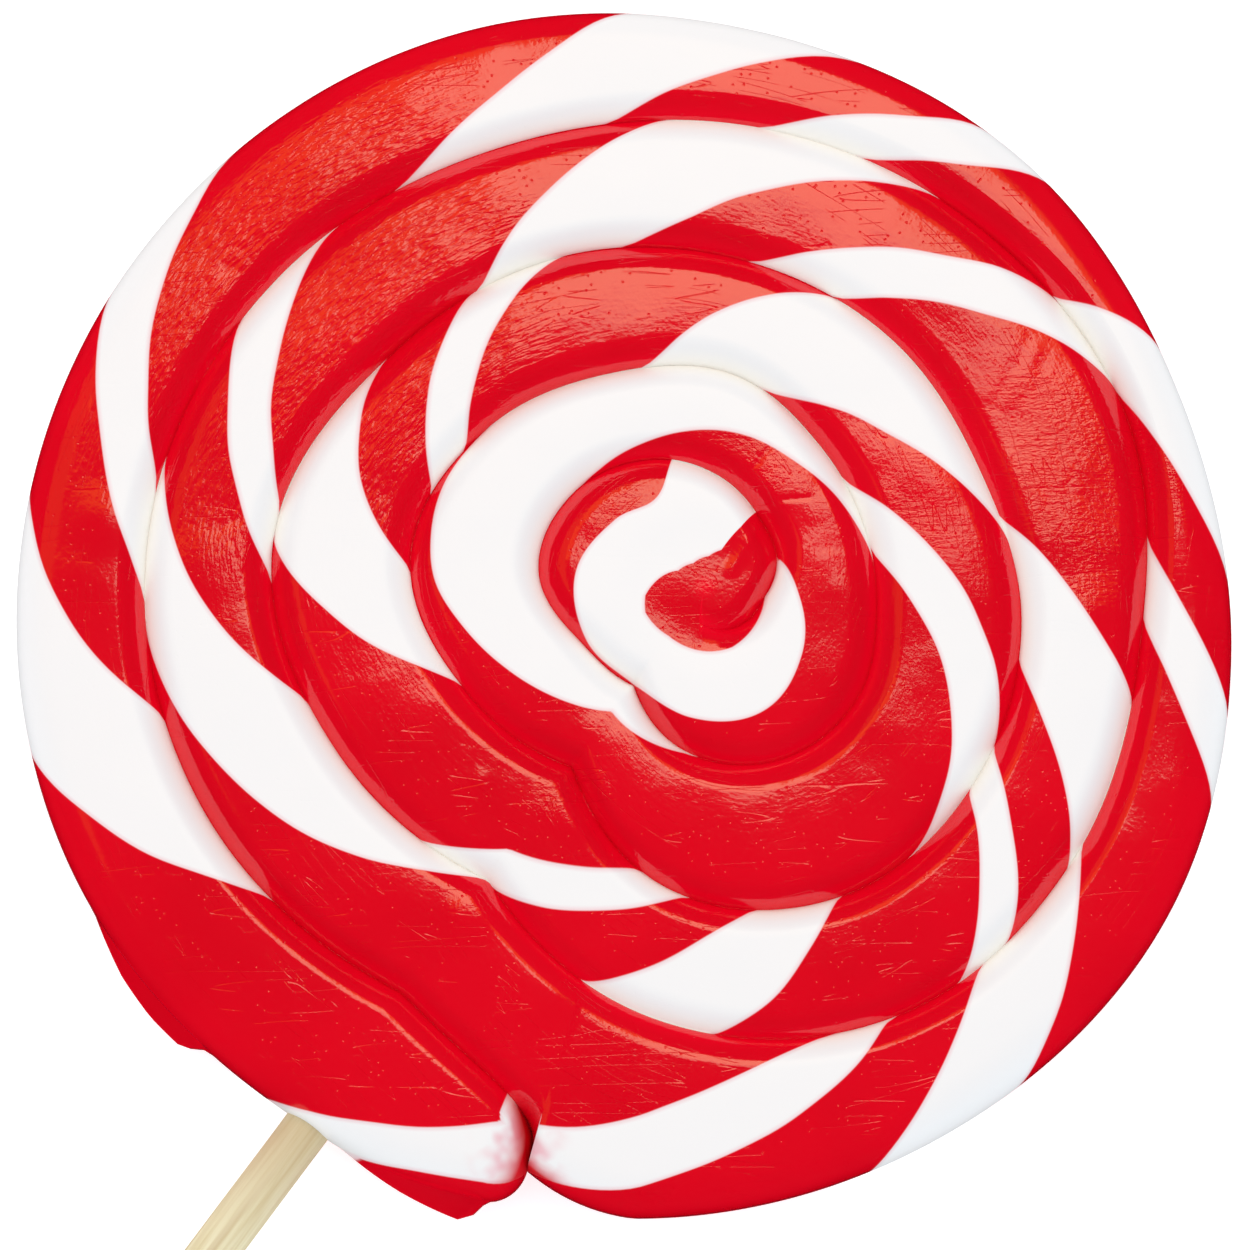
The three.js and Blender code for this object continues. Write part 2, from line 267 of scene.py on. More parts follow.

# How the sugar's colours change: clouds in the red, then millimetres from a groove, within which the colours
# are painted lighter as painted light against the grooves' shade, from a stripe's edge and from the rope's
# end
CLOUD_SCALE = 60.0
CLOUD_LIMITS = (0.35, 0.65)
GROOVE_LIGHT_WIDTH = 1.8
STRIPE_SOFTNESS = 0.08
BLUSH_WIDTH = 0.5
BLUSH_STRENGTH = 0.5
END_BLUSH = (2.0, 6.5)
END_BLUSH_SCALE = 420.0
END_BLUSH_LIMITS = (0.4, 0.65)
CREASE_HEIGHTS = (9.5, 11.8)  # the crease beside the rope's end is red below these
CREASE_REACH = (4.5, 7.5)
RED_ROUGHNESS = 0.09
WHITE_ROUGHNESS = 0.4
WHITE_BUMP = 0.3  # the white shows this share of the relief
SUGAR_IOR = 1.58

# Wood
GRAIN_STRETCH = 0.04
FIBRE_SCALE = 1800.0
FIBRE_LIMITS = (0.3, 0.6)
FIBRE_DEPTH = 0.03
BAND_SCALE = 520.0
BAND_LIMITS = (0.5, 0.68)
BAND_STRENGTH = 0.4
CANDY_SHADE_LENGTH = 18  # painted shade: the stick is painted browner this far from the candy
CANDY_SHADE_STRENGTH = 0.5
WOOD_ROUGHNESS = 0.6

# The floor lies this far under the candy, so that the two don't share a plane
FLOOR_GAP = 0.05
FLOOR_SIZE = 3
FLOOR_COLOUR = (0.75, 0.75, 0.75, 1)
FLOOR_GLOW = 0.62
FLOOR_ROUGHNESS = 0.9

# Light: the soft sky, and panels. A panel stands so many degrees to the right of the picture's up, so
# many from overhead, and so many metres away.
SKY_COLOUR = (0.87, 0.935, 1, 1)
SKY_STRENGTH = 1.05
Panel = namedtuple("Panel", "name across tilt distance size radiance colour")
PANELS = [
    Panel("softbox", 6.5, 22, 1.2, (0.237, 0.44), 2.7, (0.68, 1, 0.78)),
    Panel("warm_panel", 0, 23.5, 1.2, (0.6, 0.42), 2.0, (1, 0.28, 0.01)),
    Panel("side_panel", -62, 34, 1.2, (0.6, 0.7), 0.6, (1, 0.4, 0.02)),
]

# The photograph's frame, on the plane of the pressed face
PICTURE_UP = Vector((-0.595, 0.804, 0))
PICTURE_CENTRE = Vector((-4.5, -7.8, 10))
PICTURE_WIDTH = 128.9
CAMERA_TILT = 10
CAMERA_DISTANCE = 600
CAMERA_NEAR = 10
SENSOR_WIDTH = 36


def smoothstep(value, low, high):
    share = np.clip((value - low) / (high - low), 0, 1)
    return share * share * (3 - 2 * share)


def lerp(start, end, share):
    return start + (end - start) * share


def radius_along(radii, angle):
    """A smooth curve through rows of radii that lie RADIUS_STEP apart, read at an angle past their first."""
    last = radii.shape[-1] - 1
    index = np.clip((angle // RADIUS_STEP).astype(int), 0, last - 1)
    share = angle / RADIUS_STEP - index

    def radius_at(i):
        i = np.clip(i, 0, last)
        if radii.ndim == 1:
            return radii[i]
        return np.take_along_axis(radii, i[:, None], 1)[:, 0]

    def slope_at(i):
        before = np.maximum(i - 1, 0)
        after = np.minimum(i + 1, last)
        return (radius_at(after) - radius_at(before)) / (after - before)

    start = radius_at(index)
    rise = radius_at(index + 1) - start
    start_slope = slope_at(index)
    end_slope = slope_at(index + 1)
    bend = 3 * rise - 2 * start_slope - end_slope
    twist = start_slope + end_slope - 2 * rise
    return start + share * (start_slope + share * (bend + share * twist))


def groove_radius(angle):
    turn = np.clip((angle // FULL_TURN).astype(int), 0, len(GROOVE_RADII) - 1)
    taper = np.clip((INNER_END_ANGLE - angle) / INNER_END_TAPER, 0, 1)
    coil = radius_along(GROOVE_RADII[turn], angle - turn * FULL_TURN) * taper
    share = np.clip((angle - ROPE_END_ANGLE) / -ROPE_END_ANGLE, 0, 1)
    blunt_end = lerp(NOTCH_RADIUS, GROOVE_RADII[0][0], share**END_FLARE)
    return np.where(angle < 0, blunt_end, coil)


def quarter_round(share):
    """How far a quarter circle has risen at a share of its width."""
    return np.sqrt(1 - (1 - share) ** 2)


def outline_radius(angle):
    last_step = (len(OUTLINE_RADII) - 1) * RADIUS_STEP
    end_share = np.clip((angle - ROPE_END_ANGLE) / (ROPE_END_CORNER - ROPE_END_ANGLE), 0, 1)
    blunt_end = lerp(NOTCH_RADIUS, CORNER_RADIUS, quarter_round(end_share))
    behind_end = lerp(OUTLINE_RADII[0], CORNER_RADIUS, (angle / ROPE_END_CORNER) ** 2)
    notch_share = np.clip((angle - last_step) / (OUTLINE_END_ANGLE - last_step), 0, 1)
    into_notch = lerp(OUTLINE_RADII[-1], NOTCH_RADIUS, notch_share**2)
    coil = radius_along(OUTLINE_RADII, np.clip(angle, 0, last_step))
    rules = [angle < ROPE_END_CORNER, angle < 0, angle > last_step]
    return np.select(rules, [blunt_end, behind_end, into_notch], coil)


def ledge_radius(angle):
    """Radius of the edge's lower half."""
    return outline_radius(angle) + np.interp(angle, LEDGE_ANGLES, LEDGE_REACHES)


def is_outermost(angle):
    return angle < OUTLINE_END_ANGLE - 1e-9


def outer_radius(angle, outline_at):
    return np.where(is_outermost(angle), outline_at(angle), groove_radius(angle - FULL_TURN))


def notch_share(angle):
    return (1 - smoothstep(angle, ROPE_END_ANGLE, ROPE_END_ANGLE + NOTCH_REACH)) ** 2


def groove_depth(angle, usual_depth):
    waves = sum(
        share * np.sin(np.radians(per_turn * angle + shift)) for share, per_turn, shift in GROOVE_WAVES
    )
    depth = usual_depth * (1 + GROOVE_UNEVENNESS * waves)
    return lerp(depth, MIDDLE_HEIGHT, notch_share(angle))


def top_groove_share(angle):
    """How much is left of the shown face's groove, which grows shallow towards the centre."""
    return 1 - smoothstep(angle, INNER_END_ANGLE - INNER_END_FADE, INNER_END_ANGLE)


def top_groove_depth(angle):
    return groove_depth(angle, TOP_GROOVE_DEPTH) * top_groove_share(angle)


def underside_groove_depth(angle):
    fade = smoothstep(groove_radius(angle), FLAT_CENTRE_RADIUS, FULL_UNDERSIDE_RADIUS)
    return groove_depth(angle, UNDERSIDE_GROOVE_DEPTH) * fade


def section_side(angle, depth_at, outermost):
    """Width, depth and curve of one side of the section: the outline's round edge or a groove's slope."""
    roundness = np.where(outermost, 1, notch_share(angle))
    width = lerp(SHOULDER_WIDTH, RIM_WIDTH, roundness)
    depth = np.where(outermost, MIDDLE_HEIGHT, depth_at(angle))
    curve = [lerp(start, end, roundness) for start, end in zip(SHOULDER_CURVE, RIM_CURVE)]
    return width, depth, curve


def section_angles():
    offsets = list(NOTCH_STEPS)
    first = math.ceil(NOTCH_STEPS[-1] / ANGLE_STEP + 0.5) * ANGLE_STEP
    offsets += list(np.arange(first, FULL_TURN - ANGLE_STEP / 2, ANGLE_STEP))
    turns = len(GROOVE_RADII) + 1
    starts = ROPE_END_ANGLE + FULL_TURN * np.arange(turns)
    angles = (starts[:, None] + np.array(offsets)[None, :]).ravel()
    return np.append(angles, INNER_END_ANGLE + FULL_TURN), len(offsets)


def face_rows(angles, outline_at, depth_at, crown, row_counts):
    """Radius, fall below the highest point, and distance from the inner side of every point of a face."""
    inner_radius = groove_radius(angles)
    width = np.maximum(outer_radius(angles, outline_at) - inner_radius, LEAST_WIDTH)
    inner_width, inner_depth, inner_curve = section_side(angles, depth_at, np.zeros(len(angles), bool))
    outer_width, outer_depth, outer_curve = section_side(
        angles - FULL_TURN, depth_at, is_outermost(angles)
    )
    squeeze = np.minimum(1, WIDEST_SIDES * width / (inner_width + outer_width))
    inner_width = inner_width * squeeze
    outer_width = outer_width * squeeze

    inner_shares = np.linspace(0, 1, row_counts[0])
    middle_shares = np.linspace(0, 1, row_counts[1] + 2)[1:-1]
    edge_shares = 1 - np.sin(np.linspace(0, math.pi / 2, row_counts[2]))
    edge_shares = np.insert(edge_shares, -1, LAST_ROW_SHARE)
    distance = np.concatenate(
        [
            inner_width[:, None] * inner_shares,
            lerp(inner_width[:, None], (width - outer_width)[:, None], middle_shares),
            width[:, None] - outer_width[:, None] * edge_shares,
        ],
        axis=1,
    )

    def fall_beside_edge(from_edge, side_width, depth, curve):
        nearness = np.clip(1 - from_edge / side_width[:, None], 0, 1)
        squareness, power = (value[:, None] for value in curve)
        return np.maximum(depth - crown, 0)[:, None] * (1 - (1 - nearness**squareness) ** power)

    bow = crown * (2 * distance / width[:, None] - 1) ** 2
    bow = lerp(crown, bow, smoothstep(inner_radius[:, None] + distance, *LEVEL_CENTRE))
    inner_fall = fall_beside_edge(distance, inner_width, inner_depth, inner_curve)
    outer_fall = fall_beside_edge(width[:, None] - distance, outer_width, outer_depth, outer_curve)
    fall = bow + np.maximum(inner_fall, outer_fall)
    end_share = np.clip((angles - ROPE_END_ANGLE) / ROPE_END_ROUND, 0, 1)
    fall = lerp(MIDDLE_HEIGHT, fall, quarter_round(end_share)[:, None])
    return inner_radius[:, None] + distance, fall, distance, width


def plan_point(angle, radius):
    radians = np.radians(angle)
    return -radius * np.sin(radians), -radius * np.cos(radians)


class LatticeNoise:
    """Smooth seeded noise over the plane, from -1 to 1."""

    def __init__(self, seed, cells=64):
        self.values = np.random.default_rng(seed).uniform(-1, 1, (cells, cells))
        self.cells = cells

    def __call__(self, x, y):
        column = np.floor(x).astype(int)
        row = np.floor(y).astype(int)
        across = x - column
        up = y - row
        across = across * across * (3 - 2 * across)
        up = up * up * (3 - 2 * up)
        column %= self.cells
        row %= self.cells
        right = (column + 1) % self.cells
        above = (row + 1) % self.cells
        low = lerp(self.values[column, row], self.values[right, row], across)
        high = lerp(self.values[column, above], self.values[right, above], across)
        return lerp(low, high, up)


def waves_at(waves, x, y):
    """Waves without their height, from -1 to 1."""
    return LatticeNoise(waves.seed)(x / waves.size, y / waves.size)


def dents(x, y):
    """How far the pressed face lies below its highest level."""
    depth = WIDE_DENTS.height * (1 + waves_at(WIDE_DENTS, x, y))
    depth = depth + NARROW_DENTS.height * (1 + waves_at(NARROW_DENTS, x, y))
    depth = depth + SMALL_DENTS.height * waves_at(SMALL_DENTS, x, y)
    for start, end, half_width, height in FOLDS:
        along_x = end[0] - start[0]
        along_y = end[1] - start[1]
        length = math.hypot(along_x, along_y)
        share = ((x - start[0]) * along_x + (y - start[1]) * along_y) / length**2
        nearest = np.clip(share, 0, 1)
        distance = np.hypot(x - start[0] - nearest * along_x, y - start[1] - nearest * along_y)
        depth = depth - height * np.clip(1 - distance / half_width, 0, 1) ** FOLD_SHARPNESS
    for (middle_x, middle_y), radius, height in HILLS:
        nearness = np.clip(1 - np.hypot(x - middle_x, y - middle_y) / radius, 0, 1)
        depth = depth - height * smoothstep(nearness, 0, 1)
    return np.maximum(depth, 0)


def area_strength(areas, x, y):
    strength = np.zeros(x.shape)
    for (middle_x, middle_y), radius, most in areas:
        nearness = 1 - np.hypot(x - middle_x, y - middle_y) / radius
        strength = np.maximum(strength, most * smoothstep(nearness, 0, AREA_FADE))
    return strength


def stripe_edge(edge, share):
    """The angle of a stripe's edge at a share of the rope's width, and how fast it changes."""
    inner, middle, outer = edge
    helix = np.arccos(np.clip(1 - 2 * share, -1, 1)) / math.pi
    sag = middle - (inner + outer) / 2
    slant = outer - inner + 4 * sag * (1 - 2 * share)
    return inner + (outer - inner) * lerp(share, helix, STRIPE_BEND) + 4 * sag * share * (1 - share), slant


def carry_under(edge):
    """A stripe's edge goes on round the rope's outer side and crosses the underside the other way."""
    inner, middle, outer = edge
    return 2 * outer - inner, 2 * outer - middle, outer


def whiteness(angle, radius, share, width, on_top):
    """Signed distance in millimetres to the nearest stripe edge, positive in the white."""
    per_degree = radius * math.pi / 180
    best = np.full(radius.shape, -FAR_AWAY)
    for begin, end in STRIPES:
        if not on_top and begin[0] < COILED_STRIPES_END:
            begin = carry_under(begin)
            end = carry_under(end)
        begin_angle, begin_slant = stripe_edge(begin, share)
        end_angle, end_slant = stripe_edge(end, share)
        from_begin = (angle - begin_angle) * per_degree / np.hypot(1, begin_slant * per_degree / width)
        to_end = (end_angle - angle) * per_degree / np.hypot(1, end_slant * per_degree / width)
        best = np.maximum(best, np.minimum(from_begin, to_end))
    past_start = np.clip(angle - CURL_START, 0, (len(CURL_OUTER_RADII) - 1) * RADIUS_STEP)
    curl_outer = radius_along(CURL_OUTER_RADII, past_start)
    curl_inner = np.interp(angle, CURL_INNER_ANGLES, CURL_INNER_RADII)
    curl = np.minimum(curl_outer - radius, radius - curl_inner)
    best = np.where(angle > CURL_START, np.maximum(best, curl), best)
    cap = np.minimum(CAP_WIDTH - share * width, (CAP_ANGLE - angle) * per_degree)
    best = np.maximum(best, cap)
    past_notch = (OUTLINE_END_ANGLE - angle) * per_degree
    under_end = (angle > OUTLINE_END_ANGLE) & (angle < UNDER_END_ANGLE)
    return np.where(under_end, np.minimum(best, past_notch), best)


def point_values(angle, radius, distance, width, on_top):
    """What the material reads at each point of a face."""
    x, y = plan_point(angle, radius)
    share = distance / width
    white = whiteness(angle, radius, share, width, on_top)
    white = white + STRIPE_WAVES.height * waves_at(STRIPE_WAVES, x, y)
    if not on_top:
        white = white - UNDERSIDE_THINNING * (1 - share)
    from_outer_side = np.where(is_outermost(angle), FAR_AWAY, width - distance)
    return {
        "white_side": white,
        "from_groove": np.minimum(distance, from_outer_side),
        "wrinkled": area_strength(WRINKLED_AREAS, x, y),
        "streaked": area_strength(STREAKED_AREAS, x, y) * smoothstep(radius, *CALM_CENTRE),
    }


def rope_places(angles, radius, distance):
    """How far along the rope, and how far across it, each point of a face lies."""
    rows = radius.shape[1]
    middle_radius = radius[:, rows // 2]
    along = np.concatenate([[0], np.cumsum(np.radians(np.diff(angles)) * middle_radius[1:])])
    return zip(np.repeat(along, rows), distance.ravel())


def number_points(points, place, per_turn, centre):
    """Adds a face's own points, and numbers the point at each section and row.

    The first points are the outline, which both faces share. Each turn ends on the groove of the turn
    outside it, the rope's outer end shrinks to one point, and its inner end to the centre.
    """
    x, y, height = place
    sections, rows = x.shape
    numbers = np.zeros((sections, rows), int)
    for i in range(1, sections - 1):
        ends_at_centre = i >= sections - 1 - per_turn
        first_row = 1 if ends_at_centre else 0
        start = len(points)
        points += [(x[i, j], y[i, j], height[i, j]) for j in range(first_row, rows - 1)]
        numbers[i, first_row : rows - 1] = np.arange(start, len(points))
        if ends_at_centre:
            numbers[i, 0] = centre
        numbers[i, -1] = i if i < per_turn else numbers[i - per_turn, 0]
    numbers[-1] = centre
    return numbers


def polygon_cells(numbers, i, j, on_top):
    """The corners between two sections and two rows, without those that share a point with the next."""
    cells = [(i, j), (i + 1, j), (i + 1, j + 1), (i, j + 1)]
    if not on_top:
        cells.reverse()
    kept = []
    for cell in cells:
        if not kept or numbers[cell] != numbers[kept[-1]]:
            kept.append(cell)
    if len(kept) > 1 and numbers[kept[0]] == numbers[kept[-1]]:
        kept.pop()
    return kept


def candy_mesh(points, faces, corner_sources, values, rope_place):
    """The mesh, with what the material reads at each corner of its faces."""
    mesh = bpy.data.meshes.new("candy_swirl")
    mesh.from_pydata([Vector(p) * MM for p in points], [], faces)
    for name, per_point in values.items():
        layer = mesh.attributes.new(name, "FLOAT", "CORNER")
        layer.data.foreach_set("value", np.array(per_point, np.float32)[corner_sources])
    rope = mesh.uv_layers.new(name="rope")
    place = np.array(rope_place, np.float32)[corner_sources]
    rope.data.foreach_set("uv", place.ravel())
    mesh.shade_smooth()
    return mesh


def make_candy():
    """The pressed rope: the shown face and the underside, which meet in the outline."""
    angles, per_turn = section_angles()
    outline_angles = angles[:per_turn]
    outline_x, outline_y = plan_point(outline_angles, ledge_radius(outline_angles))
    points = list(zip(outline_x, outline_y, [MIDDLE_HEIGHT] * per_turn))
    faces = []
    corner_sources = []
    values = {}
    rope_place = []

    for on_top, outline_at, depth_at, crown, row_counts in (
        (True, outline_radius, top_groove_depth, CROWN_HEIGHT, TOP_ROWS),
        (False, ledge_radius, underside_groove_depth, 0, UNDERSIDE_ROWS),
    ):
        radius, fall, distance, width = face_rows(angles, outline_at, depth_at, crown, row_counts)
        sections, rows = radius.shape
        angle_grid = np.repeat(angles[:, None], rows, 1)
        x, y = plan_point(angle_grid, radius)
        if on_top:
            beside_groove = np.clip(1 - distance / GROOVE_SMOOTH_WIDTH, 0, 1)
            fall = fall + dents(x, y) * (1 - beside_groove * top_groove_share(angle_grid))
        height = THICKNESS - fall if on_top else fall
        first_source = len(rope_place)
        rope_place += rope_places(angles, radius, distance)
        for name, grid in point_values(angle_grid, radius, distance, width[:, None], on_top).items():
            values.setdefault(name, []).extend(grid.ravel())

        centre = len(points)
        points.append((0, 0, THICKNESS - crown - dents(0.0, 0.0) if on_top else 0))
        numbers = number_points(points, (x, y, height), per_turn, centre)
        for i in range(sections - 1):
            for j in range(rows - 1):
                cells = polygon_cells(numbers, i, j, on_top)
                if len(cells) > 2:
                    faces.append([int(numbers[cell]) for cell in cells])
                    corner_sources += [first_source + a * rows + b for a, b in cells]

    mesh = candy_mesh(points, faces, corner_sources, values, rope_place)
    return link(bpy.data.objects.new("candy_swirl", mesh))


def link(obj):
    bpy.context.scene.collection.objects.link(obj)
    return obj


def node(tree, kind, inputs=None, **settings):
    made = tree.nodes.new(kind)
    for name, value in settings.items():
        setattr(made, name, value)
    for name, value in (inputs or {}).items():
        socket = made.inputs[name]
        if isinstance(value, bpy.types.NodeSocket):
            tree.links.new(value, socket)
        else:
            socket.default_value = value
    return made


def math_node(tree, operation, first, second=0.0, third=0.0):
    return node(tree, "ShaderNodeMath", {0: first, 1: second, 2: third}, operation=operation).outputs[0]


def mix_colour(tree, factor, first, second):
    mixer = node(tree, "ShaderNodeMix", {0: factor, 6: first, 7: second}, data_type="RGBA")
    return mixer.outputs[2]


def map_range(tree, value, low, high, to_low=0.0, to_high=1.0, smooth=False):
    return node(
        tree,
        "ShaderNodeMapRange",
        {"Value": value, "From Min": low, "From Max": high, "To Min": to_low, "To Max": to_high},
        interpolation_type="SMOOTHSTEP" if smooth else "LINEAR",
    ).outputs["Result"]


def new_material(name):
    material = bpy.data.materials.new(name)
    material.use_nodes = True
    tree = material.node_tree
    shader = tree.nodes["Principled BSDF"]
    return material, tree, shader


def noise(tree, vector, scale, detail=2.0, roughness=0.5, dimensions="3D"):
    inputs = {"Vector": vector, "Scale": scale, "Detail": detail, "Roughness": roughness}
    return node(tree, "ShaderNodeTexNoise", inputs, noise_dimensions=dimensions).outputs["Fac"]


def stretched(tree, place, turn, along, across):
    turned = node(tree, "ShaderNodeMapping", {"Vector": place, "Rotation": (0, 0, math.radians(turn))})
    scales = (along, across, 1)
    return node(tree, "ShaderNodeMapping", {"Vector": turned.outputs[0], "Scale": scales}).outputs[0]


def thin_lines(tree, place, hairs):
    """Curving hair lines: 1 in a line and 0 beside it."""
    field = noise(tree, stretched(tree, place, *hairs[:3]), 1.0, 0.0, dimensions="2D")
    from_line = math_node(tree, "ABSOLUTE", math_node(tree, "SUBTRACT", field, 0.5))
    return map_range(tree, from_line, 0.0, hairs.thickness, 1.0, 0.0, smooth=True)


def pits(tree, place):
    inputs = {"Vector": place, "Scale": PIT_SCALE}
    cells = node(tree, "ShaderNodeTexVoronoi", inputs, voronoi_dimensions="2D")
    random = node(tree, "ShaderNodeSeparateColor", {0: cells.outputs["Color"]}).outputs[0]
    chosen = map_range(tree, random, 1 - PIT_SHARE, 1.001 - PIT_SHARE)
    pit = map_range(tree, cells.outputs["Distance"], *PIT_LIMITS, 1.0, 0.0, smooth=True)
    return math_node(tree, "MULTIPLY", pit, chosen)


def wrinkle_strength(tree, place, wrinkled):
    patches = noise(tree, place, PATCH_SCALE, 1.0, dimensions="2D")
    patches = map_range(tree, patches, *PATCH_LIMITS, WEAKEST_PATCH, 1.0, smooth=True)
    height = math_node(tree, "MULTIPLY_ADD", wrinkled, WRINKLE_HEIGHT, LEAST_HEIGHT)
    return math_node(tree, "MULTIPLY", height, patches)


def sugar_relief(tree, place, rope, wrinkled, streaked):
    """The fine relief of the pressed sugar, as a height in millimetres."""
    wrinkle_height = wrinkle_strength(tree, place, wrinkled)
    wrinkle_place = stretched(tree, place, WRINKLE_TURN, *WRINKLE_SCALES)
    wrinkles = noise(tree, wrinkle_place, 1.0, 2.0, 0.65, dimensions="2D")
    streaks = noise(tree, stretched(tree, rope, 0, *STREAK_SCALES), 1.0, 1.5, 0.65, dimensions="2D")
    streak_height = math_node(tree, "MULTIPLY_ADD", streaked, STREAK_HEIGHT, LEAST_HEIGHT)
    relief = math_node(tree, "MULTIPLY", noise(tree, place, GRAIN_SCALE, 1.0, 0.6), GRAIN_HEIGHT)
    relief = math_node(tree, "MULTIPLY_ADD", wrinkles, wrinkle_height, relief)
    relief = math_node(tree, "MULTIPLY_ADD", streaks, streak_height, relief)
    relief = math_node(tree, "MULTIPLY_ADD", pits(tree, place), -PIT_DEPTH, relief)
    hairs = thin_lines(tree, rope, HAIRS_ALONG_ROPE)
    hairs = math_node(tree, "MAXIMUM", hairs, thin_lines(tree, place, HAIRS_ACROSS_PICTURE))
    hair_patches = noise(tree, place, HAIR_PATCH_SCALE, 0.0, dimensions="2D")
    kept = map_range(tree, hair_patches, *HAIR_PATCH_LIMITS)
    kept = math_node(tree, "MULTIPLY_ADD", wrinkled, HAIRS_IN_WRINKLES, kept)
    return math_node(tree, "MULTIPLY_ADD", math_node(tree, "MULTIPLY", hairs, kept), -HAIR_DEPTH, relief)


def attribute(tree, name):
    return node(tree, "ShaderNodeAttribute", attribute_name=name).outputs["Fac"]


def white_sugar(tree, place, white_side, groove_light):
    """The white: cream in the grooves, partly its tint and partly painted light against their shade; pink
    beside the red; and stained where the rope's end curls in.
    """
    white = mix_colour(tree, groove_light, WHITE, GROOVE_LIT_CREAM)
    edge_blush = map_range(tree, white_side, 0.0, BLUSH_WIDTH, BLUSH_STRENGTH, 0.0, smooth=True)
    from_end = node(tree, "ShaderNodeVectorMath", {0: place, 1: ROPE_END_TIP * MM}, operation="DISTANCE")
    from_end = from_end.outputs["Value"]
    near_end = map_range(tree, from_end, END_BLUSH[0] * MM, END_BLUSH[1] * MM, 1.0, 0.0, smooth=True)
    mottling = map_range(tree, noise(tree, place, END_BLUSH_SCALE, 1.0), *END_BLUSH_LIMITS)
    end_blush = math_node(tree, "MULTIPLY", near_end, mottling)
    white = mix_colour(tree, math_node(tree, "MAXIMUM", edge_blush, end_blush), white, PINK)
    height = node(tree, "ShaderNodeSeparateXYZ", {0: place}).outputs["Z"]
    in_crease = map_range(tree, height, CREASE_HEIGHTS[0] * MM, CREASE_HEIGHTS[1] * MM, 1.0, 0.0)
    beside_end = map_range(tree, from_end, CREASE_REACH[0] * MM, CREASE_REACH[1] * MM, 1.0, 0.0)
    return mix_colour(tree, math_node(tree, "MULTIPLY", beside_end, in_crease), white, RED)


def candy_material():
    material, tree, shader = new_material("striped_sugar")
    white_side = attribute(tree, "white_side")
    place = node(tree, "ShaderNodeTexCoord").outputs["Object"]
    rope = node(tree, "ShaderNodeUVMap", uv_map="rope").outputs["UV"]

    clouds = noise(tree, place, CLOUD_SCALE, 2.0)
    red = mix_colour(tree, map_range(tree, clouds, *CLOUD_LIMITS), DEEP_RED, RED)
    from_groove = attribute(tree, "from_groove")
    # Painted light: near the grooves the red and the white are painted lighter, against the grooves' shade
    groove_light = map_range(tree, from_groove, 0.0, GROOVE_LIGHT_WIDTH, 1.0, 0.0, smooth=True)
    red = mix_colour(tree, groove_light, red, GROOVE_LIT_RED)
    white = white_sugar(tree, place, white_side, groove_light)
    is_white = map_range(tree, white_side, -STRIPE_SOFTNESS, STRIPE_SOFTNESS, smooth=True)
    tree.links.new(mix_colour(tree, is_white, red, white), shader.inputs["Base Color"])

    relief = sugar_relief(tree, place, rope, attribute(tree, "wrinkled"), attribute(tree, "streaked"))
    strength = map_range(tree, is_white, 0.0, 1.0, 1.0, WHITE_BUMP)
    bump = node(tree, "ShaderNodeBump", {"Height": relief, "Strength": strength, "Distance": MM})
    tree.links.new(bump.outputs["Normal"], shader.inputs["Normal"])
    roughness = map_range(tree, is_white, 0.0, 1.0, RED_ROUGHNESS, WHITE_ROUGHNESS)
    tree.links.new(roughness, shader.inputs["Roughness"])
    shader.inputs["IOR"].default_value = SUGAR_IOR
    return material


def make_stick():
    """The round stick, a little uneven along its length, with rounded ends."""
    box_low, box_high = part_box("stick")
    start = box_high.y / MM
    end = box_low.y / MM
    end_steps = STICK_ROUND * STICK_END_SHARES
    middle = np.linspace(start, end, STICK_RINGS)[1:-1]
    rings = np.concatenate([start - end_steps, middle, end + end_steps[::-1]])
    from_end = np.minimum(start - rings, rings - end)
    turned = np.radians(np.arange(STICK_SIDES) * FULL_TURN / STICK_SIDES)
    wear = LatticeNoise(STICK_WEAR.seed)
    points = []
    for y, inset in zip(rings, from_end):
        rounding = STICK_ROUND * (1 - quarter_round(min(inset / STICK_ROUND, 1)))
        worn = 1 + wear(turned * 2, np.full(STICK_SIDES, y / STICK_WEAR.size))
        radius = STICK_RADIUS - rounding - STICK_WEAR.height * worn
        points += [(r * math.cos(t), y, MIDDLE_HEIGHT + r * math.sin(t)) for r, t in zip(radius, turned)]
    faces = [list(reversed(range(STICK_SIDES)))]
    for i in range(len(rings) - 1):
        for j in range(STICK_SIDES):
            after = (j + 1) % STICK_SIDES
            row = i * STICK_SIDES
            next_row = row + STICK_SIDES
            faces.append([row + j, row + after, next_row + after, next_row + j])
    last_row = (len(rings) - 1) * STICK_SIDES
    faces.append([last_row + j for j in range(STICK_SIDES)])
    mesh = bpy.data.meshes.new("wooden_stick")
    mesh.from_pydata([Vector(p) * MM for p in points], [], faces)
    mesh.shade_smooth()
    return link(bpy.data.objects.new("wooden_stick", mesh))


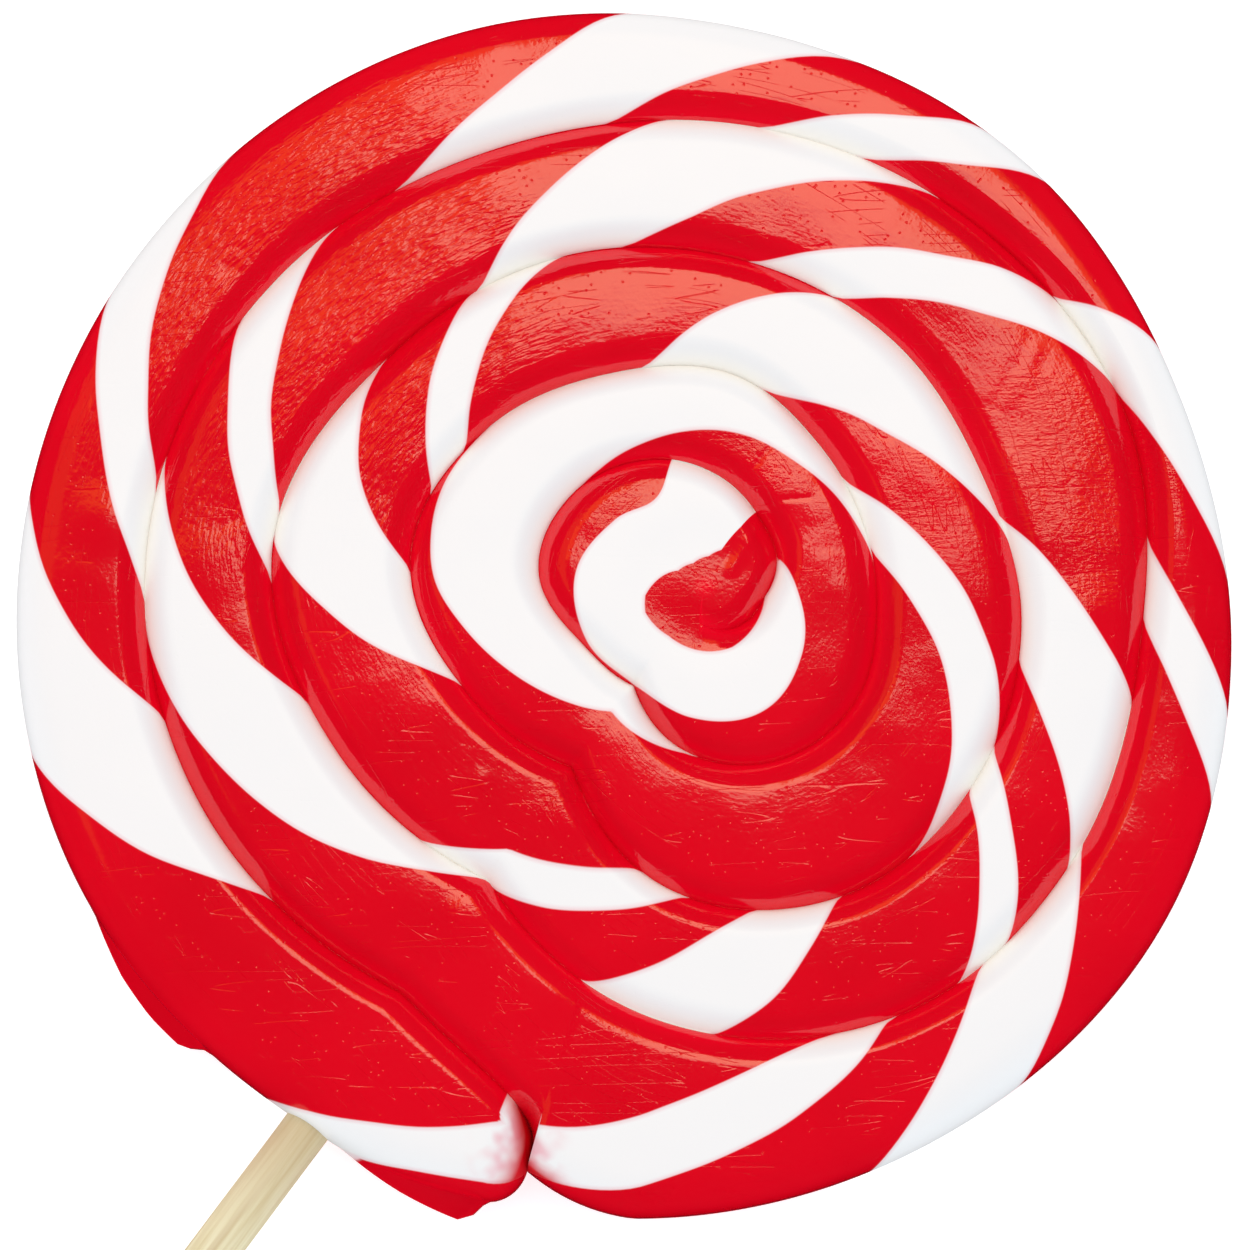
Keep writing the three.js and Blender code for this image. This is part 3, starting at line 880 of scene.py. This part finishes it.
def wood_material():
    """Pale wood with long darker bands, and painted shade that browns it beside the candy."""
    material, tree, shader = new_material("stick_wood")
    place = node(tree, "ShaderNodeTexCoord").outputs["Object"]
    grain = node(tree, "ShaderNodeMapping", {"Vector": place, "Scale": (1, GRAIN_STRETCH, 1)}).outputs[0]
    fibres = noise(tree, grain, FIBRE_SCALE, 3.0, 0.6)
    bands = map_range(tree, noise(tree, grain, BAND_SCALE, 1.0), *BAND_LIMITS, smooth=True)
    colour = mix_colour(tree, map_range(tree, fibres, *FIBRE_LIMITS), DARK_WOOD, PALE_WOOD)
    colour = mix_colour(tree, math_node(tree, "MULTIPLY", bands, BAND_STRENGTH), colour, BAND_AND_SHADE_BROWN)
    y = node(tree, "ShaderNodeSeparateXYZ", {0: place}).outputs["Y"]
    # Painted shade: the wood turns brown towards where the stick enters the candy
    candy_edge = -OUTLINE_RADII[0] * MM
    shade_start = candy_edge - CANDY_SHADE_LENGTH * MM
    candy_shade = map_range(tree, y, shade_start, candy_edge, 0.0, CANDY_SHADE_STRENGTH, smooth=True)
    colour = mix_colour(tree, candy_shade, colour, BAND_AND_SHADE_BROWN)
    tree.links.new(colour, shader.inputs["Base Color"])
    bump = node(tree, "ShaderNodeBump", {"Height": fibres, "Strength": 1.0, "Distance": FIBRE_DEPTH * MM})
    tree.links.new(bump.outputs["Normal"], shader.inputs["Normal"])
    shader.inputs["Roughness"].default_value = WOOD_ROUGHNESS
    return material


def make_floor():
    bpy.ops.mesh.primitive_plane_add(size=FLOOR_SIZE, location=(0, 0, -FLOOR_GAP * MM))
    floor = bpy.context.object
    floor.name = "floor"
    material, _, shader = new_material("floor")
    shader.inputs["Base Color"].default_value = FLOOR_COLOUR
    shader.inputs["Roughness"].default_value = FLOOR_ROUGHNESS
    shader.inputs["Emission Color"].default_value = (1, 1, 1, 1)
    shader.inputs["Emission Strength"].default_value = FLOOR_GLOW
    floor.data.materials.append(material)
    floor.visible_glossy = False


def look_at(obj, location, target, up):
    back = (location - target).normalized()
    right = up.cross(back).normalized()
    true_up = back.cross(right)
    turn = Matrix((right, true_up, back)).transposed().to_4x4()
    obj.matrix_world = Matrix.Translation(location) @ turn


def make_camera():
    data = bpy.data.cameras.new("camera")
    camera = link(bpy.data.objects.new("camera", data))
    tilt = math.radians(CAMERA_TILT)
    target = PICTURE_CENTRE * MM
    away = Vector((0, 0, math.cos(tilt))) - PICTURE_UP * math.sin(tilt)
    look_at(camera, target + away * CAMERA_DISTANCE * MM, target, PICTURE_UP)
    data.sensor_width = SENSOR_WIDTH
    data.lens = SENSOR_WIDTH * CAMERA_DISTANCE / PICTURE_WIDTH
    data.clip_start = CAMERA_NEAR * MM
    bpy.context.scene.camera = camera


def make_panel(panel):
    """A light panel turned towards the candy."""
    data = bpy.data.lights.new(panel.name, "AREA")
    data.shape = "RECTANGLE"
    data.size, data.size_y = panel.size
    data.energy = panel.radiance * math.pi * panel.size[0] * panel.size[1]
    data.color = panel.colour
    light = link(bpy.data.objects.new(panel.name, data))
    tilt = math.radians(panel.tilt)
    picture_up = Matrix.Rotation(math.radians(-panel.across), 3, "Z") @ PICTURE_UP.normalized()
    direction = picture_up * math.sin(tilt) + Vector((0, 0, math.cos(tilt)))
    look_at(light, direction * panel.distance, Vector((0, 0, 0)), picture_up)


def make_lights():
    scene = bpy.context.scene
    scene.view_settings.view_transform = "Standard"
    scene.world = bpy.data.worlds.new("studio")
    scene.world.use_nodes = True
    background = scene.world.node_tree.nodes["Background"]
    background.inputs["Color"].default_value = SKY_COLOUR
    background.inputs["Strength"].default_value = SKY_STRENGTH
    scene.world.cycles_visibility.glossy = False
    for panel in PANELS:
        make_panel(panel)


candy = make_candy()
candy.data.materials.append(candy_material())
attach(candy, "root")
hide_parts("candy")

stick = make_stick()
stick.data.materials.append(wood_material())
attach(stick, "root")
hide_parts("stick")

make_floor()
make_lights()
make_camera()
